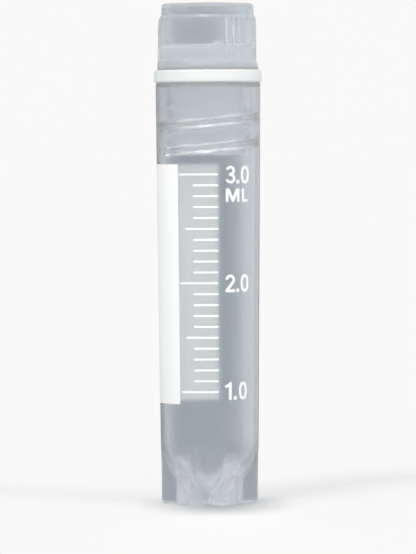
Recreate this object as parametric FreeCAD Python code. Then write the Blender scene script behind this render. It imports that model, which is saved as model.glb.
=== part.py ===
import FreeCAD, Part
import math
import os

from FreeCAD import Vector

# Self-standing cryogenic vial with an internal thread, in millimetres.
# +Z is up, the origin is the centre of the foot, and -Y is the side that carries the scale.
# Three mouldings: the tube with its star foot, a silicone washer, and a screw cap whose
# hollow plug carries the external thread.

# ---- tube -------------------------------------------------------------------------------
TUBE_HEIGHT = 50.2          # foot plane to rim
RIM_DIAMETER = 12.5
FOOT_DIAMETER = 11.55       # the tube tapers evenly from rim to foot
WALL = 1.05
FLOOR_THICKNESS = 1.5       # at the lowest point of the round bottom
BOTTOM_CLEARANCE = 1.1      # from the foot plane up to the round bottom
NECK_DEPTH = 9.0            # straight, threaded part of the bore below the rim
RIM_ROUND = 0.25
MOUTH_CHAMFER = 0.3

# ---- star foot --------------------------------------------------------------------------
PLATE_COUNT = 3             # plates that cross on the axis, each making two ribs
RIB_THICKNESS = 2.0
RIB_ANGLE = -64.0           # direction of the first rib, from +X
RIB_INSET = 0.04            # rib edges sit this far inside the tapered outline
RIB_CORNER = 0.5            # rounding of each rib's lower outer corner
GATE_DIAMETER = 3.0         # relief around the moulding gate, where the ribs meet
GATE_DEPTH = 0.4

# ---- thread, one start, right-handed ----------------------------------------------------
PITCH = 3.0
RIDGE_BASE = 1.25           # ridge width where it leaves its wall
RIDGE_TOP = 0.62            # ridge width where the rounded crest starts
RIDGE_HEIGHT = 0.48
CREST_RISE = 0.12           # part of the height that is the rounded crest
RIDGE_ROOT = 0.25           # depth to which a ridge is sunk into its own wall
END_TRIM = 0.03             # the round ends are this much smaller than the ridge
RADIAL_CLEARANCE = 0.22     # from a crest to the wall that it faces
FLANK_CLEARANCE = 0.25      # along the axis, between the two ridges' bearing flanks
NECK_RIDGE_TURNS = 1.9
NECK_RIDGE_START = 8.2      # from the rim down to the lower end of the neck's ridge
NECK_RIDGE_ANGLE = -152.0   # direction of that end, from +X
PLUG_RIDGE_TURNS = 1.5
PLUG_RIDGE_MARGIN = 0.95    # from the plug's end up to the lower end of its ridge

# ---- washer -----------------------------------------------------------------------------
WASHER_THICKNESS = 1.5
WASHER_OVERHANG = 0.22      # lower edge beyond the rim
WASHER_TAPER = 0.1          # upper edge inside the lower one
WASHER_CLEARANCE = 0.1      # around the plug
WASHER_ROUND = 0.3

# ---- cap --------------------------------------------------------------------------------
FLANGE_INSET = 0.24         # flange edge inside the rim's edge
FLANGE_THICKNESS = 1.0
FLANGE_SLOPE = 0.4          # height of the slope from the flange's edge in to the grip
FLANGE_ROUND = 0.2
GRIP_INSET = 0.18           # foot of the grip inside the flange's edge
GRIP_HEIGHT = 5.2
GRIP_TAPER = 0.1            # radius that the grip loses over its height
SHOULDER_INSET = 0.24
SHOULDER_HEIGHT = 0.3
CROWN_HEIGHT = 1.4
CROWN_ROUND = 0.42
CROWN_WALL = 0.69           # round the open top recess, which takes a push-in marker disc
RECESS_DEPTH = 5.0
RECESS_ROUND = 0.1
WEB_THICKNESS = 1.0         # floor of the recess, which closes the plug
PLUG_LENGTH = 10.1          # below the flange
PLUG_WALL = 0.9
PLUG_ROUND = 0.3
HOLLOW_ROUND = 0.2
GROUP_COUNT = 3             # groups of grip ridges round the cap
GROUP_ANGLE = -57.5         # direction of the first group's middle ridge, from +X
RIDGES_PER_GROUP = 3
GRIP_RIDGE_STEP = 8.5       # degrees between the ridges of a group
GRIP_RIDGE_RADIUS = 0.24
GRIP_RIDGE_PROUD = 0.16

# ---- levels and radii that the pieces share ----------------------------------------------
TAPER = (RIM_DIAMETER - FOOT_DIAMETER) / 2 / TUBE_HEIGHT


def outer_radius(height):
    """Radius of the tube's tapered outside at a height above the foot plane."""
    return FOOT_DIAMETER / 2 + TAPER * height


NECK_FLOOR = TUBE_HEIGHT - NECK_DEPTH
NECK_RADIUS = outer_radius(NECK_FLOOR) - WALL
PLUG_RADIUS = NECK_RADIUS - RIDGE_HEIGHT - RADIAL_CLEARANCE
WASHER_TOP = TUBE_HEIGHT + WASHER_THICKNESS
PLUG_END = WASHER_TOP - PLUG_LENGTH


# ---- helpers ----------------------------------------------------------------------------
def polar(radius, angle, height=0.0):
    """Point at a radius and an angle in degrees about the Z axis."""
    turn = math.radians(angle)
    return Vector(radius * math.cos(turn), radius * math.sin(turn), height)


def profile(points):
    """Straight edges through (radius, height) points in the XZ plane."""
    corners = [Vector(radius, 0, height) for radius, height in points]
    return [Part.makeLine(a, b) for a, b in zip(corners, corners[1:])]


def revolve(edges):
    """Solid of revolution about Z from the edges of a closed outline."""
    return Part.Face(Part.Wire(edges)).revolve(Vector(0, 0, 0), Vector(0, 0, 1), 360)


def ring_edges(shape, height, radius):
    """Circular edges about Z at a height and a radius."""
    tolerance = 1e-4
    return [edge for edge in shape.Edges
            if not edge.Degenerated and isinstance(edge.Curve, Part.Circle)
            and abs(edge.Curve.Center.z - height) < tolerance
            and abs(edge.Curve.Radius - radius) < tolerance]


def one_solid(shape):
    """The single solid that a boolean made, with its split faces merged."""
    solids = shape.removeSplitter().Solids
    if len(solids) != 1:
        raise ValueError("expected one solid, got %d" % len(solids))
    return solids[0]


def ball_bottom(side_radius, lowest, upper):
    """Revolve a tapered side that runs, tangent, into a ball-shaped bottom.

    side_radius(height) is the side's radius, lowest the ball's lowest point, and upper the
    (radius, height) points that close the outline from the side's top to the axis.
    """
    lean = math.atan(TAPER)
    ball = side_radius(lowest) * math.cos(lean) / (1 - math.sin(lean))
    centre = lowest + ball

    def on_ball(angle):
        return Vector(ball * math.cos(angle), 0, centre + ball * math.sin(angle))

    pole, tangent = on_ball(-math.pi / 2), on_ball(-lean)
    bottom = Part.Arc(pole, on_ball(-math.pi / 4), tangent).toShape()
    side = profile([(tangent.x, tangent.z)] + upper + [(0, lowest)])
    return revolve([bottom] + side)


# ---- thread -----------------------------------------------------------------------------
def ridge_corners(root, crest, trim=0.0):
    """Half of a ridge's section, from its sunk root out to the middle of its crest."""
    way = 1 if crest > root else -1
    base, top = RIDGE_BASE / 2 - trim, RIDGE_TOP / 2 - trim
    flank_slope = (base - top) / (RIDGE_HEIGHT - CREST_RISE)
    sunk = Vector(root - way * RIDGE_ROOT, 0, base + flank_slope * RIDGE_ROOT)
    shoulder = Vector(crest - way * (CREST_RISE + trim), 0, top)
    return sunk, shoulder, Vector(crest - way * trim, 0, 0)


def below(point):
    """The point's twin on the other side of the ridge's middle line."""
    return Vector(point.x, 0, -point.z)


def round_end(root, crest):
    """Round boss with the ridge's own flanks, which closes an end of a ridge."""
    sunk, shoulder, top = ridge_corners(root, crest, END_TRIM)
    back = Vector(sunk.x, 0, 0)
    crown = Part.Arc(shoulder, top, below(shoulder))
    half_crown = crown.toShape(crown.parameter(shoulder), crown.parameter(top))
    outline = Part.Wire([Part.makeLine(back, sunk), Part.makeLine(sunk, shoulder),
                         half_crown, Part.makeLine(top, back)])
    return Part.Face(outline).revolve(Vector(0, 0, 0), Vector(1, 0, 0), 360)


def helical_ridge(root, crest, turns, start_height, start_angle):
    """Ridge along a right-handed helix, from a wall of radius root to a crest radius."""
    sunk, shoulder, top = ridge_corners(root, crest)
    section = Part.Wire([Part.makeLine(below(sunk), sunk), Part.makeLine(sunk, shoulder),
                         Part.Arc(shoulder, top, below(shoulder)).toShape(),
                         Part.makeLine(below(shoulder), below(sunk))])
    helix = Part.Wire(Part.makeHelix(PITCH, PITCH * turns, root).Edges)
    sweep = helix.makePipeShell([section], True, True)
    lower_end = round_end(root, crest)
    upper_end = lower_end.copy()
    upper_end.rotate(Vector(0, 0, 0), Vector(0, 0, 1), 360 * turns)
    upper_end.translate(Vector(0, 0, PITCH * turns))
    ridge = sweep.fuse([lower_end, upper_end])
    ridge.rotate(Vector(0, 0, 0), Vector(0, 0, 1), start_angle)
    ridge.translate(Vector(0, 0, start_height))
    return ridge


def neck_ridge():
    """The tube's internal ridge."""
    return helical_ridge(NECK_RADIUS, NECK_RADIUS - RIDGE_HEIGHT, NECK_RIDGE_TURNS,
                         TUBE_HEIGHT - NECK_RIDGE_START, NECK_RIDGE_ANGLE)


def plug_ridge():
    """The cap's external ridge, whose upper flank bears on the neck ridge's lower flank."""
    start_height = PLUG_END + PLUG_RIDGE_MARGIN
    # Half widths of the two ridges add up to this where they pass each other.
    flank_slope = (RIDGE_BASE - RIDGE_TOP) / 2 / (RIDGE_HEIGHT - CREST_RISE)
    side_by_side = RIDGE_BASE - flank_slope * RADIAL_CLEARANCE - flank_slope * RIDGE_HEIGHT
    drop = side_by_side + FLANK_CLEARANCE
    neck_height = TUBE_HEIGHT - NECK_RIDGE_START
    turn = (start_height + drop - neck_height) / PITCH
    return helical_ridge(PLUG_RADIUS, PLUG_RADIUS + RIDGE_HEIGHT, PLUG_RIDGE_TURNS,
                         start_height, NECK_RIDGE_ANGLE + 360 * turn)


# ---- pieces -----------------------------------------------------------------------------
def star_foot():
    """Plates that cross on the axis, trimmed to the tube's tapered outline."""
    top = BOTTOM_CLEARANCE + FOOT_DIAMETER / 2 + WALL
    foot, brim = outer_radius(0) - RIB_INSET, outer_radius(top) - RIB_INSET
    envelope = revolve(profile([(0, 0), (foot, 0), (brim, top), (0, top), (0, 0)]))
    envelope = envelope.makeFillet(RIB_CORNER, ring_edges(envelope, 0, foot))
    plates = []
    for index in range(PLATE_COUNT):
        plate = Part.makeBox(FOOT_DIAMETER * 2, RIB_THICKNESS, top + WALL,
                             Vector(-FOOT_DIAMETER, -RIB_THICKNESS / 2, 0))
        plate.rotate(Vector(0, 0, 0), Vector(0, 0, 1), RIB_ANGLE + index * 180 / PLATE_COUNT)
        plates.append(plate)
    star = plates[0].multiFuse(plates[1:]).common(envelope)
    return star.cut(Part.makeCylinder(GATE_DIAMETER / 2, GATE_DEPTH))


def vial_body():
    """Tapered tube with a round bottom, a star foot and an internal thread."""
    rim_radius = RIM_DIAMETER / 2
    outside = ball_bottom(outer_radius, BOTTOM_CLEARANCE,
                          [(rim_radius, TUBE_HEIGHT), (0, TUBE_HEIGHT)])
    outside = outside.makeFillet(RIM_ROUND, ring_edges(outside, TUBE_HEIGHT, rim_radius))
    mouth_radius = NECK_RADIUS + MOUTH_CHAMFER
    cavity = ball_bottom(lambda height: outer_radius(height) - WALL,
                         BOTTOM_CLEARANCE + FLOOR_THICKNESS,
                         [(NECK_RADIUS, NECK_FLOOR),
                          (NECK_RADIUS, TUBE_HEIGHT - MOUTH_CHAMFER),
                          (mouth_radius, TUBE_HEIGHT), (mouth_radius, TUBE_HEIGHT + WALL),
                          (0, TUBE_HEIGHT + WALL)])
    shell = outside.fuse(star_foot()).cut(cavity)
    return one_solid(shell.fuse(neck_ridge()))


def seal_washer():
    """Silicone ring that is squeezed between the rim and the cap's flange."""
    lower = RIM_DIAMETER / 2 + WASHER_OVERHANG
    upper = lower - WASHER_TAPER
    bore = PLUG_RADIUS + WASHER_CLEARANCE
    ring = revolve(profile([(bore, TUBE_HEIGHT), (lower, TUBE_HEIGHT), (upper, WASHER_TOP),
                            (bore, WASHER_TOP), (bore, TUBE_HEIGHT)]))
    outer_edges = ring_edges(ring, TUBE_HEIGHT, lower) + ring_edges(ring, WASHER_TOP, upper)
    return ring.makeFillet(WASHER_ROUND, outer_edges)


def grip_ridge(foot_radius, foot_height, head_radius, head_height, angle):
    """Half-round ridge up the grip, with a ball end under the shoulder."""
    sink = GRIP_RIDGE_RADIUS - GRIP_RIDGE_PROUD
    foot = polar(foot_radius - sink, angle, foot_height)
    head = polar(head_radius - sink, angle, head_height)
    bar = Part.makeCylinder(GRIP_RIDGE_RADIUS, foot.distanceToPoint(head), foot, head - foot)
    return bar.fuse(Part.makeSphere(GRIP_RIDGE_RADIUS, head))


def screw_cap():
    """Cap with a flange, a ridged grip, an open top recess and a hollow threaded plug."""
    flange = RIM_DIAMETER / 2 - FLANGE_INSET
    flange_top = WASHER_TOP + FLANGE_THICKNESS
    edge_top = flange_top - FLANGE_SLOPE
    grip_foot = flange - GRIP_INSET
    grip_head = grip_foot - GRIP_TAPER
    grip_top = flange_top + GRIP_HEIGHT
    crown = grip_head - SHOULDER_INSET
    crown_top = grip_top + SHOULDER_HEIGHT + CROWN_HEIGHT
    body = revolve(profile([(0, PLUG_END), (PLUG_RADIUS, PLUG_END), (PLUG_RADIUS, WASHER_TOP),
                            (flange, WASHER_TOP), (flange, edge_top),
                            (grip_foot, flange_top), (grip_head, grip_top),
                            (crown, grip_top + SHOULDER_HEIGHT), (crown, crown_top),
                            (0, crown_top), (0, PLUG_END)]))
    body = body.makeFillet(CROWN_ROUND, ring_edges(body, crown_top, crown))
    body = body.makeFillet(FLANGE_ROUND, ring_edges(body, edge_top, flange))
    body = body.makeFillet(PLUG_ROUND, ring_edges(body, PLUG_END, PLUG_RADIUS))

    recess_radius = crown - CROWN_WALL
    recess_floor = crown_top - RECESS_DEPTH
    recess = Part.makeCylinder(recess_radius, RECESS_DEPTH, Vector(0, 0, recess_floor))
    recess = recess.makeFillet(RECESS_ROUND, ring_edges(recess, recess_floor, recess_radius))
    hollow_radius = PLUG_RADIUS - PLUG_WALL
    hollow_top = recess_floor - WEB_THICKNESS
    hollow = Part.makeCylinder(hollow_radius, hollow_top - PLUG_END, Vector(0, 0, PLUG_END))
    hollow = hollow.makeFillet(HOLLOW_ROUND, ring_edges(hollow, hollow_top, hollow_radius))

    ridges = [plug_ridge()]
    for group in range(GROUP_COUNT):
        for place in range(RIDGES_PER_GROUP):
            angle = (GROUP_ANGLE + group * 360 / GROUP_COUNT
                     + (place - (RIDGES_PER_GROUP - 1) / 2) * GRIP_RIDGE_STEP)
            ridges.append(grip_ridge(grip_foot, edge_top, grip_head,
                                     grip_top - GRIP_RIDGE_RADIUS, angle))
    return one_solid(body.fuse(ridges).cut(recess.fuse(hollow)))


os.makedirs("parts", exist_ok=True)
for name, make in (("vial_body", vial_body), ("seal_washer", seal_washer), ("screw_cap", screw_cap)):
    make().exportStep("parts/%s.step" % name)
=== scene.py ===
import math

import bmesh
import bpy
from mathutils import Matrix, Vector


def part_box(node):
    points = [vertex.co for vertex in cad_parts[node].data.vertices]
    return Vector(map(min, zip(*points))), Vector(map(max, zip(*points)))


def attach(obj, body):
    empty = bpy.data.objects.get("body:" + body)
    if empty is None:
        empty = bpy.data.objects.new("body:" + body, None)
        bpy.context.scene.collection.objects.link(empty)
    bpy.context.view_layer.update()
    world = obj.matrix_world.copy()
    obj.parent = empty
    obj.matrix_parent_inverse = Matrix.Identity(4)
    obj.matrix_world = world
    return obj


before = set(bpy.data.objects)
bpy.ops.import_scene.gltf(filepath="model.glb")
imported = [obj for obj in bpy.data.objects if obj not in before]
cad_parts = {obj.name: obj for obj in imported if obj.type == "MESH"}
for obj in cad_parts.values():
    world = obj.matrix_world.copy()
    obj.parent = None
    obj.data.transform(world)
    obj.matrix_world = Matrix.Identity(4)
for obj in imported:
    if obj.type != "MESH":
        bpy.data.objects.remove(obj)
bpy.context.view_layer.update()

# A self-standing cryogenic vial: natural polypropylene tube and cap, white silicone washer,
# and white print on the tube. Lengths are metres, in the frame of the construction.
# Bearings are degrees about the vial's axis, 0 towards the side with the scale (-Y),
# growing towards +X.

MM = 0.001

# ---- the tube as built ------------------------------------------------------------------
RIM_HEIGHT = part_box("vial_body")[1].z
RIM_RADIUS = 6.25 * MM
FOOT_RADIUS = 5.775 * MM
TAPER = (RIM_RADIUS - FOOT_RADIUS) / RIM_HEIGHT

# ---- the cap as built -------------------------------------------------------------------
CROWN_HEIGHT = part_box("screw_cap")[1].z
RECESS_DEPTH = 5.0 * MM
RECESS_FLOOR = CROWN_HEIGHT - RECESS_DEPTH

# ---- gate nub on the recess floor -------------------------------------------------------
NUB_FOOT = Vector((0.95 * MM, 0.0, RECESS_FLOOR))
NUB_RADIUS = 0.34 * MM
NUB_HEIGHT = 0.5 * MM
NUB_SINK = 0.01 * MM        # depth to which it is let into the floor
NUB_SIDES = 24
NUB_OUTLINE = [(1.0, -NUB_SINK / NUB_HEIGHT), (0.96, 0.12), (0.66, 0.62), (0.5, 0.9),
               (0.3, 1.0)]  # shares of its radius and of its height, from the foot up

# ---- plastic ----------------------------------------------------------------------------
PLASTIC_IOR = 1.49
CLOUD_TINT = (0.98, 0.98, 0.98, 1.0)
MILK_COLOUR = (0.98, 0.99, 1.0, 1.0)
# Levels with a finish of their own, each as (middle, half height, fade).
NECK_BAND = (46.7 * MM, 4.4 * MM, 0.6 * MM)
TUBE_RIM_BAND = (50.0 * MM, 0.3 * MM, 0.1 * MM)
FOOT_BAND = (1.0 * MM, 3.5 * MM, 3.0 * MM)
PLUG_BAND = (46.0 * MM, 5.2 * MM, 1.0 * MM)
RECESS_FLOOR_BAND = (54.6 * MM, 0.08 * MM, 0.03 * MM)
WEB_BAND = (53.6 * MM, 0.5 * MM, 0.3 * MM)
FLANGE_BAND = (51.0 * MM, 1.6 * MM, 0.3 * MM)
SHOULDER_BAND = (58.05 * MM, 0.12 * MM, 0.1 * MM)
CROWN_RIM_BAND = (59.4 * MM, 0.2 * MM, 0.1 * MM)

# ---- print ------------------------------------------------------------------------------
INK_GAP = 0.008 * MM        # ink stands this far off the tube
INK_THICKNESS = 0.02 * MM
PATCH_BOTTOM, PATCH_TOP = 12.07 * MM, 40.5 * MM
PATCH_FRONT, PATCH_BACK = -36.0, -193.0
PATCH_COLUMNS, PATCH_ROWS = 72, 8
SCALE_TOP = 39.3 * MM       # the line marked 3.0
SCALE_STEP = 1.2875 * MM
SCALE_LINES = 21
LINE_THICKNESS = 0.23 * MM
LINE_RIGHT = 10.7           # bearing where every line ends
LINE_SEGMENTS = 16          # parts of a line, which let it bend round the tube
LONG_EVERY, MIDDLE_EVERY = 10.0, 5.0
LONG_LEFT, MIDDLE_LEFT, SHORT_LEFT = -33.5, -26.5, -17.3
LABEL_CUTS = 24             # upright cuts that let a flat label bend round the tube
OUTLINE_WELD = 0.001 * MM
CUT_WELD = 0.002 * MM
# The outlines of the characters are in millimetres.
DIGIT_HEIGHT = 2.1
ZERO_STROKE = 0.34
ZERO_CORNERS = 36
ZERO_FULLNESS = 0.8         # 1 would make a plain ellipse of it, less fills its corners
STOP_WIDTH, STOP_HEIGHT = 0.4, 0.42


def tube_radius(height):
    """Radius of the tube's tapered outside."""
    return FOOT_RADIUS + TAPER * height


def around(radius, bearing, height):
    """Point at a radius and a bearing about the axis."""
    turn = math.radians(bearing)
    return Vector((radius * math.sin(turn), -radius * math.cos(turn), height))


# ---- small node helpers -----------------------------------------------------------------
def new_group(name, kind, inputs, outputs):
    """Node group with named sockets: inputs are (name, socket type, default)."""
    group = bpy.data.node_groups.new(name, kind)
    for label, socket_type, default in inputs:
        socket = group.interface.new_socket(label, in_out="INPUT", socket_type=socket_type)
        if default is not None:
            socket.default_value = default
    for label, socket_type in outputs:
        group.interface.new_socket(label, in_out="OUTPUT", socket_type=socket_type)
    return group, group.nodes.new("NodeGroupInput"), group.nodes.new("NodeGroupOutput")


def add_node(tree, kind, settings=None, values=None, links=None):
    """Node with its settings, socket values and incoming links, each given by name."""
    node = tree.nodes.new(kind)
    for key, value in (settings or {}).items():
        setattr(node, key, value)
    for key, value in (values or {}).items():
        node.inputs[key].default_value = value
    for key, source in (links or {}).items():
        tree.links.new(source, node.inputs[key])
    return node


# ---- shared surface effects ---------------------------------------------------------------
def moulding_haze_group():
    """Cloudy flow marks of a thin natural moulding: a mask that drifts along the flow."""
    group, entry, leave = new_group("moulding_haze", "ShaderNodeTree",
                                    [("Vector", "NodeSocketVector", None),
                                     ("Cloud Scale", "NodeSocketFloat", 180.0),
                                     ("Streak", "NodeSocketFloat", 0.35)],
                                    [("Haze", "NodeSocketFloat")])
    stretch = add_node(group, "ShaderNodeCombineXYZ", values={"X": 1.0, "Y": 1.0},
                       links={"Z": entry.outputs["Streak"]})
    flow = add_node(group, "ShaderNodeVectorMath", {"operation": "MULTIPLY"},
                    links={0: entry.outputs["Vector"], 1: stretch.outputs["Vector"]})
    cloud = add_node(group, "ShaderNodeTexNoise", values={"Detail": 4.0, "Roughness": 0.55},
                     links={"Vector": flow.outputs["Vector"], "Scale": entry.outputs["Cloud Scale"]})
    group.links.new(cloud.outputs["Fac"], leave.inputs["Haze"])
    return group


def handling_marks_group():
    """Fine scuffs from handling: short thin scratches and a soft mottle, as one mask."""
    group, entry, leave = new_group("handling_marks", "ShaderNodeTree",
                                    [("Vector", "NodeSocketVector", None),
                                     ("Amount", "NodeSocketFloat", 0.3)],
                                    [("Marks", "NodeSocketFloat")])
    mottle = add_node(group, "ShaderNodeTexNoise", values={"Scale": 3000.0, "Detail": 5.0},
                      links={"Vector": entry.outputs["Vector"]})
    squeeze = add_node(group, "ShaderNodeMapping", values={"Scale": (6000.0, 6000.0, 700.0)},
                       links={"Vector": entry.outputs["Vector"]})
    scratch = add_node(group, "ShaderNodeTexNoise", values={"Scale": 1.0, "Detail": 2.0},
                       links={"Vector": squeeze.outputs["Vector"]})
    thin = add_node(group, "ShaderNodeMapRange",
                    values={"From Min": 0.62, "From Max": 0.72},
                    links={"Value": scratch.outputs["Fac"]})
    both = add_node(group, "ShaderNodeMath", {"operation": "MAXIMUM"},
                    links={0: mottle.outputs["Fac"], 1: thin.outputs["Result"]})
    scaled = add_node(group, "ShaderNodeMath", {"operation": "MULTIPLY"},
                      links={0: both.outputs["Value"], 1: entry.outputs["Amount"]})
    group.links.new(scaled.outputs["Value"], leave.inputs["Marks"])
    return group


def level_band_group():
    """Mask of a level band of a moulding: full within its half height, then fading out."""
    group, entry, leave = new_group("level_band", "ShaderNodeTree",
                                    [("Vector", "NodeSocketVector", None),
                                     ("Middle", "NodeSocketFloat", 0.0),
                                     ("Half Height", "NodeSocketFloat", 1.0 * MM),
                                     ("Fade", "NodeSocketFloat", 0.5 * MM)],
                                    [("Band", "NodeSocketFloat")])
    place = add_node(group, "ShaderNodeSeparateXYZ", links={0: entry.outputs["Vector"]})
    offset = add_node(group, "ShaderNodeMath", {"operation": "SUBTRACT"},
                      links={0: place.outputs["Z"], 1: entry.outputs["Middle"]})
    distance = add_node(group, "ShaderNodeMath", {"operation": "ABSOLUTE"},
                        links={0: offset.outputs["Value"]})
    outside = add_node(group, "ShaderNodeMath", {"operation": "SUBTRACT"},
                       links={0: distance.outputs["Value"], 1: entry.outputs["Half Height"]})
    faded = add_node(group, "ShaderNodeMath", {"operation": "DIVIDE", "use_clamp": True},
                     links={0: outside.outputs["Value"], 1: entry.outputs["Fade"]})
    band = add_node(group, "ShaderNodeMath", {"operation": "SUBTRACT"}, {0: 1.0},
                    {1: faded.outputs["Value"]})
    group.links.new(band.outputs["Value"], leave.inputs["Band"])
    return group


HAZE = moulding_haze_group()
MARKS = handling_marks_group()
BAND = level_band_group()


# ---- materials ----------------------------------------------------------------------------
def new_material(name):
    """Material with a Principled surface and Object coordinates."""
    material = bpy.data.materials.new(name)
    material.use_nodes = True
    tree = material.node_tree
    tree.nodes.clear()
    surface = tree.nodes.new("ShaderNodeBsdfPrincipled")
    add_node(tree, "ShaderNodeOutputMaterial", links={"Surface": surface.outputs["BSDF"]})
    where = tree.nodes.new("ShaderNodeTexCoord").outputs["Object"]
    return material, tree, surface, where


def set_surface(surface, **values):
    """Constant sockets of a Principled surface, named with underscores for spaces."""
    for key, value in values.items():
        surface.inputs[key.replace("_", " ")].default_value = value


def natural_polypropylene(name, transmission, clear, matt, matt_band, milky_bands):
    """Translucent natural polypropylene, whose milkiness is in scatters per metre.

    clear and matt are (tint, roughness, milkiness) outside and inside matt_band. A milky band
    is (band, milkiness, roughness), and adds these two to what is there.
    """
    material, tree, surface, where = new_material(name)
    haze = add_node(tree, "ShaderNodeGroup", {"node_tree": HAZE}, {"Cloud Scale": 160.0},
                    {"Vector": where})

    def band_mask(band):
        """Mask of one level band in this material."""
        sizes = {"Middle": band[0], "Half Height": band[1], "Fade": band[2]}
        return add_node(tree, "ShaderNodeGroup", {"node_tree": BAND}, sizes,
                        {"Vector": where}).outputs["Band"]

    inside = band_mask(matt_band)
    tint = add_node(tree, "ShaderNodeMix", {"data_type": "RGBA"},
                    {"A": (*clear[0], 1.0), "B": (*matt[0], 1.0)}, {"Factor": inside})
    cloudy = add_node(tree, "ShaderNodeMix", {"data_type": "RGBA"}, {"B": CLOUD_TINT},
                      {"A": tint.outputs["Result"], "Factor": haze.outputs["Haze"]})
    marks = add_node(tree, "ShaderNodeGroup", {"node_tree": MARKS}, {"Amount": 0.05},
                     {"Vector": where})
    finish = add_node(tree, "ShaderNodeMix", {"data_type": "FLOAT"},
                      {"A": clear[1], "B": matt[1]}, {"Factor": inside})
    density = add_node(tree, "ShaderNodeMix", {"data_type": "FLOAT"},
                       {"A": clear[2], "B": matt[2]}, {"Factor": inside}).outputs["Result"]
    rough = add_node(tree, "ShaderNodeMath", {"operation": "ADD"},
                     links={0: marks.outputs["Marks"], 1: finish.outputs["Result"]}).outputs["Value"]
    for band, milkiness, roughness in milky_bands:
        mask = band_mask(band)
        density = add_node(tree, "ShaderNodeMath", {"operation": "MULTIPLY_ADD"}, {1: milkiness},
                           {0: mask, 2: density}).outputs["Value"]
        rough = add_node(tree, "ShaderNodeMath", {"operation": "MULTIPLY_ADD"}, {1: roughness},
                         {0: mask, 2: rough}).outputs["Value"]
    bump = add_node(tree, "ShaderNodeBump", values={"Strength": 0.02, "Distance": 0.02 * MM},
                    links={"Height": haze.outputs["Haze"]})
    tree.links.new(cloudy.outputs["Result"], surface.inputs["Base Color"])
    tree.links.new(rough, surface.inputs["Roughness"])
    tree.links.new(bump.outputs["Normal"], surface.inputs["Normal"])
    set_surface(surface, IOR=PLASTIC_IOR, Transmission_Weight=transmission,
                Specular_IOR_Level=0.5)
    milk = add_node(tree, "ShaderNodeVolumeScatter",
                    values={"Color": MILK_COLOUR, "Anisotropy": 0.2},
                    links={"Density": density})
    tree.links.new(milk.outputs["Volume"], tree.nodes["Material Output"].inputs["Volume"])
    return material


def whitened_polypropylene():
    """Polypropylene that turned white where the gate was torn off, with a torn, grainy skin."""
    material, tree, surface, where = new_material("whitened_plastic")
    tear = add_node(tree, "ShaderNodeTexNoise", values={"Scale": 5000.0, "Detail": 3.0},
                    links={"Vector": where})
    tint = add_node(tree, "ShaderNodeMix", {"data_type": "RGBA"},
                    {"A": (0.9, 0.92, 0.93, 1.0), "B": (0.98, 0.985, 0.99, 1.0)},
                    {"Factor": tear.outputs["Fac"]})
    bump = add_node(tree, "ShaderNodeBump", values={"Strength": 0.3, "Distance": 0.03 * MM},
                    links={"Height": tear.outputs["Fac"]})
    tree.links.new(tint.outputs["Result"], surface.inputs["Base Color"])
    tree.links.new(bump.outputs["Normal"], surface.inputs["Normal"])
    set_surface(surface, Roughness=0.5, IOR=PLASTIC_IOR)
    return material


def white_silicone():
    """Opaque white silicone with a soft satin skin."""
    material, tree, surface, where = new_material("white_silicone")
    marks = add_node(tree, "ShaderNodeGroup", {"node_tree": MARKS}, {"Amount": 0.1},
                     {"Vector": where})
    rough = add_node(tree, "ShaderNodeMath", {"operation": "ADD"}, {1: 0.42},
                     {0: marks.outputs["Marks"]})
    grain = add_node(tree, "ShaderNodeTexNoise", values={"Scale": 2600.0, "Detail": 3.0},
                     links={"Vector": where})
    bump = add_node(tree, "ShaderNodeBump", values={"Strength": 0.1, "Distance": 0.01 * MM},
                    links={"Height": grain.outputs["Fac"]})
    tree.links.new(rough.outputs["Value"], surface.inputs["Roughness"])
    tree.links.new(bump.outputs["Normal"], surface.inputs["Normal"])
    set_surface(surface, Base_Color=(0.80, 0.80, 0.79, 1.0), Subsurface_Weight=0.25,
                Subsurface_Scale=0.8 * MM)
    return material


def white_ink():
    """Screen-printed white ink: matt, with the faint mottle of the mesh it came through."""
    material, tree, surface, where = new_material("white_ink")
    mottle = add_node(tree, "ShaderNodeTexNoise", values={"Scale": 1500.0, "Detail": 4.0},
                      links={"Vector": where})
    tint = add_node(tree, "ShaderNodeMix", {"data_type": "RGBA"},
                    {"A": (0.94, 0.925, 0.905, 1.0), "B": (0.985, 0.97, 0.95, 1.0)},
                    {"Factor": mottle.outputs["Fac"]})
    bump = add_node(tree, "ShaderNodeBump", values={"Strength": 0.15, "Distance": 0.004 * MM},
                    links={"Height": mottle.outputs["Fac"]})
    tree.links.new(tint.outputs["Result"], surface.inputs["Base Color"])
    tree.links.new(bump.outputs["Normal"], surface.inputs["Normal"])
    set_surface(surface, Roughness=0.6)
    return material


TUBE_PLASTIC = natural_polypropylene(
    "tube_plastic", transmission=0.985,
    clear=((0.965, 0.985, 0.995), 0.14, 70.0),
    matt=((0.965, 0.985, 0.995), 0.18, 140.0), matt_band=NECK_BAND,
    milky_bands=[(TUBE_RIM_BAND, 600.0, 0.3), (FOOT_BAND, 90.0, 0.0)])
CAP_PLASTIC = natural_polypropylene(
    "cap_plastic", transmission=0.96,
    clear=((0.92, 0.955, 0.975), 0.2, 70.0),
    matt=((0.97, 0.99, 1.0), 0.5, 180.0), matt_band=PLUG_BAND,
    milky_bands=[(RECESS_FLOOR_BAND, 600.0, 0.7), (WEB_BAND, 0.0, 0.75), (FLANGE_BAND, 900.0, 0.0),
                 (CROWN_RIM_BAND, 300.0, 0.35), (SHOULDER_BAND, 500.0, 0.0)])
WHITENED_PLASTIC = whitened_polypropylene()
SILICONE = white_silicone()
INK = white_ink()


def finish_node(node, material):
    """Give a built node its finish."""
    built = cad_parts[node]
    if not built.material_slots:
        built.data.materials.append(material)
    for place in built.material_slots:
        place.material = material


finish_node("vial_body", TUBE_PLASTIC)
finish_node("screw_cap", CAP_PLASTIC)
finish_node("seal_washer", SILICONE)


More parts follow.
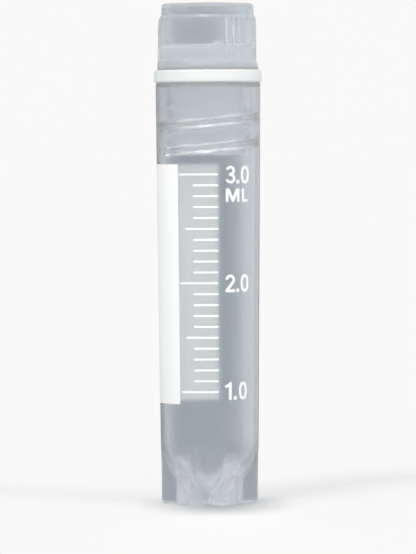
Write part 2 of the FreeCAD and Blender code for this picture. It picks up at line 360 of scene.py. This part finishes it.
# ---- print on the tube --------------------------------------------------------------------
def wrap_on_tube(mesh):
    """Bend a flat print onto the tube: x is arc length from bearing 0, y height, z depth."""
    for vertex in mesh.vertices:
        arc, height, depth = vertex.co
        radius = tube_radius(height) + INK_GAP + depth
        vertex.co = around(radius, math.degrees(arc / tube_radius(height)), height)
    mesh.update()


def print_piece(name, mesh):
    """Object for a print, riding on the tube."""
    piece = bpy.data.objects.new(name, mesh)
    bpy.context.scene.collection.objects.link(piece)
    mesh.materials.clear()
    mesh.materials.append(INK)
    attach(piece, "vial")


def thicken(mesh_edit):
    """Give flat ink faces, which look towards +Z, their thickness downwards and upwards."""
    faces = mesh_edit.faces[:]
    raised = bmesh.ops.extrude_face_region(mesh_edit, geom=faces, use_keep_orig=True)
    moved = [item for item in raised["geom"] if isinstance(item, bmesh.types.BMVert)]
    bmesh.ops.translate(mesh_edit, verts=moved, vec=(0, 0, INK_THICKNESS))
    bmesh.ops.recalc_face_normals(mesh_edit, faces=mesh_edit.faces)


def writing_patch():
    """White rectangle for writing, from beside the scale round the left side to the back."""
    middle = (PATCH_BOTTOM + PATCH_TOP) / 2
    left = math.radians(PATCH_BACK) * tube_radius(middle)
    right = math.radians(PATCH_FRONT) * tube_radius(middle)
    edit = bmesh.new()
    grid = [[edit.verts.new((left + (right - left) * i / PATCH_COLUMNS,
                             PATCH_BOTTOM + (PATCH_TOP - PATCH_BOTTOM) * j / PATCH_ROWS, 0))
             for j in range(PATCH_ROWS + 1)] for i in range(PATCH_COLUMNS + 1)]
    for i in range(PATCH_COLUMNS):
        for j in range(PATCH_ROWS):
            edit.faces.new((grid[i][j], grid[i + 1][j], grid[i + 1][j + 1], grid[i][j + 1]))
    thicken(edit)
    mesh = bpy.data.meshes.new("writing_patch")
    edit.to_mesh(mesh)
    edit.free()
    # The rectangle's sides follow bearings, so arcs scale with the taper.
    for vertex in mesh.vertices:
        vertex.co.x *= tube_radius(vertex.co.y) / tube_radius(middle)
    wrap_on_tube(mesh)
    print_piece("writing_patch", mesh)


def scale_tree():
    """Graduation lines: bars in a column, long at each tenth, middling at each fifth."""
    tree, entry, leave = new_group("graduation_lines", "GeometryNodeTree",
                                   [("Lines", "NodeSocketInt", SCALE_LINES),
                                    ("Top Height", "NodeSocketFloat", SCALE_TOP),
                                    ("Step", "NodeSocketFloat", SCALE_STEP),
                                    ("Line Thickness", "NodeSocketFloat", LINE_THICKNESS),
                                    ("Ink Thickness", "NodeSocketFloat", INK_THICKNESS),
                                    ("Ink Gap", "NodeSocketFloat", INK_GAP),
                                    ("Right End", "NodeSocketFloat", math.radians(LINE_RIGHT)),
                                    ("Long Left", "NodeSocketFloat", math.radians(LONG_LEFT)),
                                    ("Middle Left", "NodeSocketFloat", math.radians(MIDDLE_LEFT)),
                                    ("Short Left", "NodeSocketFloat", math.radians(SHORT_LEFT)),
                                    ("Foot Radius", "NodeSocketFloat", FOOT_RADIUS),
                                    ("Taper", "NodeSocketFloat", TAPER),
                                    ("Ink", "NodeSocketMaterial", None)],
                                   [("Geometry", "NodeSocketGeometry")])
    given = entry.outputs

    def math_node(operation, first, second):
        """Result of a sum of two values, each a number or a socket."""
        node = tree.nodes.new("ShaderNodeMath")
        node.operation = operation
        for slot_index, value in enumerate((first, second)):
            if isinstance(value, (int, float)):
                node.inputs[slot_index].default_value = value
            else:
                tree.links.new(value, node.inputs[slot_index])
        return node.outputs["Value"]

    step_down = math_node("MULTIPLY", given["Step"], -1.0)
    start = add_node(tree, "ShaderNodeCombineXYZ", links={"Z": given["Top Height"]})
    offset = add_node(tree, "ShaderNodeCombineXYZ", links={"Z": step_down})
    column = add_node(tree, "GeometryNodeMeshLine", {"mode": "OFFSET"},
                      links={"Count": given["Lines"], "Start Location": start.outputs["Vector"],
                             "Offset": offset.outputs["Vector"]})

    # A bar is one unit long; x runs 0 to 1 and is stretched to the line's own bearings.
    size = add_node(tree, "ShaderNodeCombineXYZ", values={"X": 1.0},
                    links={"Y": given["Ink Thickness"], "Z": given["Line Thickness"]})
    bar = add_node(tree, "GeometryNodeMeshCube", values={"Vertices X": LINE_SEGMENTS + 1},
                   links={"Size": size.outputs["Vector"]})
    centred = add_node(tree, "GeometryNodeTransform", values={"Translation": (0.5, 0.0, 0.0)},
                       links={"Geometry": bar.outputs["Mesh"]})

    index = tree.nodes.new("GeometryNodeInputIndex").outputs["Index"]
    tenth = add_node(tree, "FunctionNodeCompare", {"data_type": "FLOAT", "operation": "LESS_THAN"},
                     {"B": 0.5}, {"A": math_node("MODULO", index, LONG_EVERY)})
    fifth = add_node(tree, "FunctionNodeCompare", {"data_type": "FLOAT", "operation": "LESS_THAN"},
                     {"B": 0.5}, {"A": math_node("MODULO", index, MIDDLE_EVERY)})
    not_long = add_node(tree, "GeometryNodeSwitch", {"input_type": "FLOAT"},
                        links={"Switch": fifth.outputs["Result"], "False": given["Short Left"],
                               "True": given["Middle Left"]})
    left_end = add_node(tree, "GeometryNodeSwitch", {"input_type": "FLOAT"},
                        links={"Switch": tenth.outputs["Result"],
                               "False": not_long.outputs["Output"], "True": given["Long Left"]})
    kept = add_node(tree, "GeometryNodeStoreNamedAttribute",
                    {"data_type": "FLOAT", "domain": "POINT"}, {"Name": "left_end"},
                    {"Geometry": column.outputs["Mesh"], "Value": left_end.outputs["Output"]})
    bars = add_node(tree, "GeometryNodeInstanceOnPoints",
                    links={"Points": kept.outputs["Geometry"],
                           "Instance": centred.outputs["Geometry"]})
    real = add_node(tree, "GeometryNodeRealizeInstances",
                    links={"Geometry": bars.outputs["Instances"]})

    place = add_node(tree, "ShaderNodeSeparateXYZ",
                     links={"Vector": tree.nodes.new("GeometryNodeInputPosition").outputs["Position"]})
    left = add_node(tree, "GeometryNodeInputNamedAttribute", {"data_type": "FLOAT"},
                    {"Name": "left_end"}).outputs["Attribute"]
    span = math_node("SUBTRACT", given["Right End"], left)
    bearing = math_node("ADD", left, math_node("MULTIPLY", place.outputs["X"], span))
    tube = math_node("ADD", given["Foot Radius"],
                     math_node("MULTIPLY", given["Taper"], place.outputs["Z"]))
    lift = math_node("ADD", given["Ink Gap"], math_node("MULTIPLY", given["Ink Thickness"], 0.5))
    radius = math_node("ADD", math_node("ADD", tube, lift),
                       math_node("MULTIPLY", place.outputs["Y"], -1.0))
    east = math_node("MULTIPLY", radius, math_node("SINE", bearing, 0.0))
    north = math_node("MULTIPLY", math_node("MULTIPLY", radius, math_node("COSINE", bearing, 0.0)),
                      -1.0)
    bent = add_node(tree, "ShaderNodeCombineXYZ",
                    links={"X": east, "Y": north, "Z": place.outputs["Z"]})
    moved = add_node(tree, "GeometryNodeSetPosition",
                     links={"Geometry": real.outputs["Geometry"], "Position": bent.outputs["Vector"]})
    inked = add_node(tree, "GeometryNodeSetMaterial",
                     links={"Geometry": moved.outputs["Geometry"], "Material": given["Ink"]})
    tree.links.new(inked.outputs["Geometry"], leave.inputs["Geometry"])
    return tree


def grown_mesh(name, tree, settings):
    """Plain mesh that a geometry tree makes, with its inputs set by socket name."""
    carrier = bpy.data.objects.new(name + "_carrier", bpy.data.meshes.new(name + "_carrier"))
    bpy.context.scene.collection.objects.link(carrier)
    modifier = carrier.modifiers.new(name, "NODES")
    modifier.node_group = tree
    for item in tree.interface.items_tree:
        if item.item_type == "SOCKET" and item.in_out == "INPUT" and item.name in settings:
            modifier[item.identifier] = settings[item.name]
    depsgraph = bpy.context.evaluated_depsgraph_get()
    mesh = bpy.data.meshes.new_from_object(carrier.evaluated_get(depsgraph))
    mesh.name = name
    bpy.data.objects.remove(carrier)
    return mesh


def arc(centre_x, centre_y, wide, tall, start, end, steps=16):
    """Points of an elliptical arc between two angles in degrees."""
    turns = [math.radians(start + (end - start) * i / steps) for i in range(steps + 1)]
    return [(centre_x + wide * math.cos(turn), centre_y + tall * math.sin(turn)) for turn in turns]


def oval(left, width):
    """Outer and inner outline of a narrow upright zero."""
    rings = []
    for inset in (0.0, ZERO_STROKE):
        wide, tall = width / 2 - inset, DIGIT_HEIGHT / 2 - inset
        ring = []
        for turn in (math.radians(360 * i / ZERO_CORNERS) for i in range(ZERO_CORNERS)):
            across, up = math.cos(turn), math.sin(turn)
            full_across = math.copysign(abs(across) ** ZERO_FULLNESS, across)
            full_up = math.copysign(abs(up) ** ZERO_FULLNESS, up)
            ring.append((left + width / 2 + wide * full_across, DIGIT_HEIGHT / 2 + tall * full_up))
        rings.append(ring)
    return rings


def full_stop(left):
    """Square point of a decimal number."""
    right = left + STOP_WIDTH
    return [[(left, 0.0), (right, 0.0), (right, STOP_HEIGHT), (left, STOP_HEIGHT)]]


# Bold condensed characters, in millimetres from the left end of the foot of each label.
THREE = [arc(0.59, 1.53, 0.60, 0.57, 168, -52) + arc(0.61, 0.61, 0.64, 0.61, 52, -168)
         + arc(0.61, 0.61, 0.31, 0.29, -160, 78) + [(0.42, 0.92), (0.42, 1.26)]
         + arc(0.59, 1.53, 0.27, 0.26, -78, 160)]
TWO = [arc(0.62, 1.47, 0.62, 0.63, 178, -32) + [(0.50, 0.34), (1.24, 0.34), (1.24, 0.0), (0.0, 0.0),
                                              (0.0, 0.30)]
       + arc(0.62, 1.47, 0.29, 0.30, -38, 178)]
ONE = [[(0.84, 0.0), (0.84, 2.1), (0.56, 2.1), (0.42, 1.86), (0.0, 1.74), (0.0, 1.46), (0.48, 1.52),
        (0.48, 0.0)]]
CAPITAL_M = [[(0.0, 0.0), (0.0, 1.58), (0.46, 1.58), (0.91, 0.56), (1.36, 1.58), (1.82, 1.58),
              (1.82, 0.0), (1.49, 0.0), (1.49, 1.0), (1.04, 0.0), (0.78, 0.0), (0.33, 1.0),
              (0.33, 0.0)]]
CAPITAL_L = [[(2.2, 0.0), (2.2, 1.58), (2.53, 1.58), (2.53, 0.31), (3.14, 0.31), (3.14, 0.0)]]

# Labels of the scale: name, outlines, bearing of the left end and height of the foot.
LABELS = [("label_3_0", THREE + full_stop(1.4) + oval(2.05, 1.3), 19.5, 38.2 * MM),
          ("label_unit", CAPITAL_M + CAPITAL_L, 19.5, 36.03 * MM),
          ("label_2_0", TWO + full_stop(1.42) + oval(2.05, 1.27), 18.9, 25.35 * MM),
          ("label_1_0", ONE + full_stop(1.12) + oval(1.85, 1.24), 18.2, 12.6 * MM)]


def scale_label(name, outlines, start, foot):
    """Characters from their outlines, starting at a bearing and standing at a height."""
    curve = bpy.data.curves.new(name, "CURVE")
    curve.dimensions = "2D"
    curve.fill_mode = "BOTH"
    for outline in outlines:
        spline = curve.splines.new("POLY")
        spline.points.add(len(outline) - 1)
        for point, (across, up) in zip(spline.points, outline):
            point.co = (across * MM, up * MM, 0.0, 1.0)
        spline.use_cyclic_u = True
    draft = bpy.data.objects.new(name + "_draft", curve)
    bpy.context.scene.collection.objects.link(draft)
    depsgraph = bpy.context.evaluated_depsgraph_get()
    mesh = bpy.data.meshes.new_from_object(draft.evaluated_get(depsgraph))
    bpy.data.objects.remove(draft)
    mesh.name = name
    edit = bmesh.new()
    edit.from_mesh(mesh)
    bmesh.ops.remove_doubles(edit, verts=edit.verts, dist=OUTLINE_WELD)
    width = max(vertex.co.x for vertex in edit.verts)
    for index in range(1, LABEL_CUTS):
        everything = edit.verts[:] + edit.edges[:] + edit.faces[:]
        bmesh.ops.bisect_plane(edit, geom=everything, plane_co=(width * index / LABEL_CUTS, 0, 0),
                               plane_no=(1, 0, 0))
    bmesh.ops.remove_doubles(edit, verts=edit.verts, dist=CUT_WELD)
    bmesh.ops.translate(edit, verts=edit.verts,
                        vec=(math.radians(start) * tube_radius(foot), foot, 0.0))
    thicken(edit)
    edit.to_mesh(mesh)
    edit.free()
    wrap_on_tube(mesh)
    print_piece(name, mesh)


def gate_nub():
    """Torn-off gate of the cap's moulding: a small blunt cone on the recess floor."""
    edit = bmesh.new()
    rings = [[edit.verts.new(NUB_FOOT + around(share * NUB_RADIUS, 360.0 * i / NUB_SIDES,
                                               rise * NUB_HEIGHT)) for i in range(NUB_SIDES)]
             for share, rise in NUB_OUTLINE]
    for lower, upper in zip(rings, rings[1:]):
        for i in range(NUB_SIDES):
            j = (i + 1) % NUB_SIDES
            edit.faces.new((lower[i], lower[j], upper[j], upper[i]))
    edit.faces.new(rings[0][::-1])
    edit.faces.new(rings[-1])
    bmesh.ops.recalc_face_normals(edit, faces=edit.faces)
    mesh = bpy.data.meshes.new("gate_nub")
    edit.to_mesh(mesh)
    edit.free()
    mesh.materials.append(WHITENED_PLASTIC)
    nub = bpy.data.objects.new("gate_nub", mesh)
    bpy.context.scene.collection.objects.link(nub)
    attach(nub, "cap")


gate_nub()
writing_patch()
lines = grown_mesh("graduation_lines", scale_tree(), {"Lines": SCALE_LINES, "Ink": INK})
print_piece("graduation_lines", lines)
for label, characters, left_end, foot_height in LABELS:
    scale_label(label, characters, left_end, foot_height)


# ---- floor, world, lights and camera --------------------------------------------------------
# Where the room's light changes: x as a share of the vector's length, for the two sides,
# and y as a share of the front's reach.
LEFT_DIM, LEFT_FULL = -0.8, 0.2
RIGHT_DIM, RIGHT_FULL = 0.95, 0.5
FRONT_BEGINS, FRONT_FULL = 0.25, -0.35


def surround_group():
    """Light of the room: dimmer at the sides, bright in front, and a dim upright strip behind.

    The vector is a direction for the world and a place for the floor, whose light also dims
    close to the vial (Near Reach) and whose strip has a width and a start of its own.
    """
    group, entry, leave = new_group("surround", "ShaderNodeTree",
                                    [("Vector", "NodeSocketVector", None),
                                     ("Even", "NodeSocketColor", (0.75, 0.76, 0.77, 1.0)),
                                     ("Near", "NodeSocketColor", (0.75, 0.76, 0.77, 1.0)),
                                     ("Near Reach", "NodeSocketFloat", 0.0),
                                     ("Front", "NodeSocketColor", (1.0, 1.0, 1.0, 1.0)),
                                     ("Front Reach", "NodeSocketFloat", 1.0),
                                     ("Left Shade", "NodeSocketFloat", 1.0),
                                     ("Right Shade", "NodeSocketFloat", 1.0),
                                     ("Strip", "NodeSocketColor", (0.1, 0.12, 0.15, 1.0)),
                                     ("Half Width", "NodeSocketFloat", 0.0),
                                     ("Start", "NodeSocketFloat", 0.0),
                                     ("Strip Bearing", "NodeSocketFloat", math.radians(-4.0)),
                                     ("Strip Core", "NodeSocketFloat", math.radians(3.0)),
                                     ("Strip Edge", "NodeSocketFloat", math.radians(24.0))],
                                    [("Light", "NodeSocketColor")])
    turned = add_node(group, "ShaderNodeVectorRotate", {"rotation_type": "Z_AXIS"},
                      links={"Vector": entry.outputs["Vector"],
                             "Angle": entry.outputs["Strip Bearing"]})
    place = add_node(group, "ShaderNodeSeparateXYZ", links={0: turned.outputs["Vector"]})
    aside = add_node(group, "ShaderNodeMath", {"operation": "ABSOLUTE"},
                     links={0: place.outputs["X"]})
    beyond = add_node(group, "ShaderNodeMath", {"operation": "SUBTRACT"},
                      links={0: aside.outputs["Value"], 1: entry.outputs["Half Width"]})
    off_strip = add_node(group, "ShaderNodeMath", {"operation": "ARCTAN2"},
                         links={0: beyond.outputs["Value"], 1: place.outputs["Y"]})
    level = add_node(group, "ShaderNodeMapRange", {"interpolation_type": "SMOOTHSTEP"},
                     links={"Value": off_strip.outputs["Value"],
                            "From Min": entry.outputs["Strip Core"],
                            "From Max": entry.outputs["Strip Edge"]})
    before = add_node(group, "ShaderNodeMath", {"operation": "LESS_THAN"},
                      links={0: place.outputs["Y"], 1: entry.outputs["Start"]})
    lit = add_node(group, "ShaderNodeMath", {"operation": "MAXIMUM"},
                   links={0: level.outputs["Result"], 1: before.outputs["Value"]})
    reach = add_node(group, "ShaderNodeVectorMath", {"operation": "LENGTH"},
                     links={0: entry.outputs["Vector"]})
    beyond_near = add_node(group, "ShaderNodeMath", {"operation": "ADD"},
                           links={0: reach.outputs["Value"], 1: entry.outputs["Near Reach"]})
    far = add_node(group, "ShaderNodeMath", {"operation": "DIVIDE"},
                   links={0: reach.outputs["Value"], 1: beyond_near.outputs["Value"]})
    general = add_node(group, "ShaderNodeMix", {"data_type": "RGBA"},
                       links={"Factor": far.outputs["Value"], "A": entry.outputs["Near"],
                              "B": entry.outputs["Even"]})
    front = add_node(group, "ShaderNodeMix", {"data_type": "RGBA"},
                     links={"Factor": far.outputs["Value"], "A": entry.outputs["Near"],
                            "B": entry.outputs["Front"]})
    sideways = add_node(group, "ShaderNodeMath", {"operation": "DIVIDE"},
                        links={0: place.outputs["X"], 1: reach.outputs["Value"]})
    left_shade = add_node(group, "ShaderNodeMapRange", {"interpolation_type": "SMOOTHSTEP"},
                          {"From Min": LEFT_DIM, "From Max": LEFT_FULL, "To Max": 1.0},
                          {"Value": sideways.outputs["Value"],
                           "To Min": entry.outputs["Left Shade"]})
    right_shade = add_node(group, "ShaderNodeMapRange", {"interpolation_type": "SMOOTHSTEP"},
                           {"From Min": RIGHT_DIM, "From Max": RIGHT_FULL, "To Max": 1.0},
                           {"Value": sideways.outputs["Value"],
                            "To Min": entry.outputs["Right Shade"]})
    both_shades = add_node(group, "ShaderNodeMath", {"operation": "MULTIPLY"},
                           links={0: left_shade.outputs["Result"], 1: right_shade.outputs["Result"]})
    sided = add_node(group, "ShaderNodeVectorMath", {"operation": "SCALE"},
                     links={0: general.outputs["Result"], "Scale": both_shades.outputs["Value"]})
    forward = add_node(group, "ShaderNodeMath", {"operation": "DIVIDE"},
                       links={0: place.outputs["Y"], 1: entry.outputs["Front Reach"]})
    facing = add_node(group, "ShaderNodeMapRange", {"interpolation_type": "SMOOTHSTEP"},
                      {"From Min": FRONT_BEGINS, "From Max": FRONT_FULL},
                      {"Value": forward.outputs["Value"]})
    fronted = add_node(group, "ShaderNodeMix", {"data_type": "RGBA"},
                       links={"Factor": facing.outputs["Result"], "A": sided.outputs["Vector"],
                              "B": front.outputs["Result"]})
    light = add_node(group, "ShaderNodeMix", {"data_type": "RGBA"},
                     links={"Factor": lit.outputs["Value"], "A": entry.outputs["Strip"],
                            "B": fronted.outputs["Result"]})
    group.links.new(light.outputs["Result"], leave.inputs["Light"])
    return group


SURROUND = surround_group()
EVEN_LIGHT = (0.80, 0.835, 0.875, 1.0)
NEAR_LIGHT = (0.62, 0.65, 0.69, 1.0)
FRONT_LIGHT = (1.1, 1.12, 1.14, 1.0)
LEFT_SHADE = 0.7
RIGHT_SHADE = 0.78
# Painted room light that the floor glows with for every ray but the camera's: painted shade close to
# the vial (Near, Near Reach) and a painted shadow strip behind it (Strip, Half Width, Start).
FLOOR_LIGHT = {"Even": EVEN_LIGHT, "Near": NEAR_LIGHT, "Near Reach": 0.06,
               "Front": FRONT_LIGHT, "Front Reach": 0.1, "Left Shade": LEFT_SHADE,
               "Right Shade": RIGHT_SHADE, "Strip": (0.21, 0.25, 0.30, 1.0),
               "Half Width": 6.0 * MM, "Start": 4.0 * MM,
               "Strip Core": math.radians(3.0), "Strip Edge": math.radians(36.0)}
WORLD_LIGHT = {"Even": EVEN_LIGHT, "Near": EVEN_LIGHT, "Front": FRONT_LIGHT,
               "Strip": (0.08, 0.105, 0.135, 1.0), "Left Shade": LEFT_SHADE,
               "Right Shade": RIGHT_SHADE}
BACKDROP_STRENGTH = 0.947
FLOOR_TINT = (0.967, 0.936, 0.914)
FLOOR_HALF_SIDE = 60.0
CONTACT_SHADE = (0.46, 0.47, 0.47)
CONTACT_CENTRE = (1.0 * MM, -4.0 * MM, 0.0)
CONTACT_REACH = (11.0 * MM, 20.0 * MM, 1.0)     # half lengths of the oval, where it has faded
# Sun lamps: name, bearing, elevation and spread in degrees, strength, and only for gloss.
SUNS = [("key", -30.0, 46.0, 14.0, 0.5, False),
        ("side", 48.0, 30.0, 8.0, 0.2, False),
        ("top", -25.0, 74.0, 14.0, 0.5, True)]
CAMERA_SENSOR = 36.0
CAMERA_LENS = 293.7
CAMERA_DISTANCE = 0.540
CAMERA_AIM = Vector((-0.00011, 0.0, 0.02701))
CAMERA_ELEVATION = math.radians(1.57)
CAMERA_ROLL = math.radians(-0.3)


def plain_floor():
    """Large pale matt floor, which glows with painted room light for every ray but the camera's,
    so that the plastic refracts it as one with the room around it. The glow holds painted
    shade close to the vial and a painted shadow strip, as wide as the vial, behind it.

    The camera sees it matt, with a soft oval of contact shade painted round the foot.
    """
    half = FLOOR_HALF_SIDE
    mesh = bpy.data.meshes.new("floor")
    mesh.from_pydata([(-half, -half, 0), (half, -half, 0), (half, half, 0), (-half, half, 0)], [],
                     [(0, 1, 2, 3)])
    floor = bpy.data.objects.new("floor", mesh)
    bpy.context.scene.collection.objects.link(floor)
    material, tree, surface, where = new_material("pale_floor")
    set_surface(surface, Roughness=0.9, Specular_IOR_Level=0.0)
    centred = add_node(tree, "ShaderNodeVectorMath", {"operation": "SUBTRACT"},
                       {1: CONTACT_CENTRE}, {0: where})
    spread = add_node(tree, "ShaderNodeVectorMath", {"operation": "DIVIDE"},
                      {1: CONTACT_REACH}, {0: centred.outputs["Vector"]})
    away = add_node(tree, "ShaderNodeVectorMath", {"operation": "LENGTH"},
                    links={0: spread.outputs["Vector"]})
    open_floor = add_node(tree, "ShaderNodeMapRange", {"interpolation_type": "SMOOTHSTEP"},
                          links={"Value": away.outputs["Value"]})
    floor_tint = add_node(tree, "ShaderNodeMix", {"data_type": "RGBA"},
                          {"A": (*CONTACT_SHADE, 1.0), "B": (*FLOOR_TINT, 1.0)},
                          {"Factor": open_floor.outputs["Result"]})
    tree.links.new(floor_tint.outputs["Result"], surface.inputs["Base Color"])
    # Painted room light: for every ray but the camera's the floor glows, with painted shade near the
    # vial and a painted shadow strip behind it.
    room = add_node(tree, "ShaderNodeGroup", {"node_tree": SURROUND}, FLOOR_LIGHT,
                    {"Vector": where})
    glow = add_node(tree, "ShaderNodeEmission", links={"Color": room.outputs["Light"]})
    path = tree.nodes.new("ShaderNodeLightPath")
    mix = add_node(tree, "ShaderNodeMixShader",
                   links={0: path.outputs["Is Camera Ray"], 1: glow.outputs["Emission"],
                          2: surface.outputs["BSDF"]})
    tree.links.new(mix.outputs["Shader"], tree.nodes["Material Output"].inputs["Surface"])
    mesh.materials.append(material)


def studio_world():
    """Even backdrop for the camera, and the softer surround for everything else."""
    world = bpy.data.worlds.new("studio")
    world.use_nodes = True
    tree = world.node_tree
    tree.nodes.clear()
    seen = add_node(tree, "ShaderNodeBackground",
                    values={"Color": (1, 1, 1, 1), "Strength": BACKDROP_STRENGTH})
    room = add_node(tree, "ShaderNodeGroup", {"node_tree": SURROUND}, WORLD_LIGHT,
                    {"Vector": tree.nodes.new("ShaderNodeTexCoord").outputs["Generated"]})
    soft = add_node(tree, "ShaderNodeBackground", links={"Color": room.outputs["Light"]})
    path = tree.nodes.new("ShaderNodeLightPath")
    mix = add_node(tree, "ShaderNodeMixShader",
                   links={0: path.outputs["Is Camera Ray"], 1: soft.outputs["Background"],
                          2: seen.outputs["Background"]})
    add_node(tree, "ShaderNodeOutputWorld", links={"Surface": mix.outputs["Shader"]})
    bpy.context.scene.world = world


def overhead_sun(name, bearing, elevation, spread, strength, only_gloss):
    """Sun lamp as wide as a softbox; one that is only for gloss leaves matt surfaces alone."""
    light = bpy.data.lights.new(name, "SUN")
    light.energy = strength
    light.angle = math.radians(spread)
    lamp = bpy.data.objects.new(name, light)
    bpy.context.scene.collection.objects.link(lamp)
    away = around(math.cos(math.radians(elevation)), bearing, math.sin(math.radians(elevation)))
    lamp.rotation_euler = away.to_track_quat("Z", "Y").to_euler()
    lamp.visible_diffuse = not only_gloss


def studio_camera():
    """Long lens, almost level with the vial, looking straight at its scale."""
    lens = bpy.data.cameras.new("camera")
    lens.sensor_width = CAMERA_SENSOR
    lens.lens = CAMERA_LENS
    camera = bpy.data.objects.new("camera", lens)
    bpy.context.scene.collection.objects.link(camera)
    away = around(math.cos(CAMERA_ELEVATION), 0.0, math.sin(CAMERA_ELEVATION))
    camera.location = CAMERA_AIM + away * CAMERA_DISTANCE
    facing = away.to_track_quat("Z", "Y").to_matrix().to_4x4()
    roll = Matrix.Rotation(CAMERA_ROLL, 4, "Z")
    camera.matrix_world = Matrix.Translation(camera.location) @ facing @ roll
    bpy.context.scene.camera = camera


plain_floor()
studio_world()
for sun in SUNS:
    overhead_sun(*sun)
studio_camera()
bpy.context.scene.view_settings.view_transform = "Standard"
# Light passes up to sixteen surfaces of clear plastic on its way through the neck.
light_paths = bpy.context.scene.cycles
light_paths.max_bounces = 32
light_paths.transmission_bounces = 32
light_paths.volume_bounces = 8
light_paths.blur_glossy = 0.0
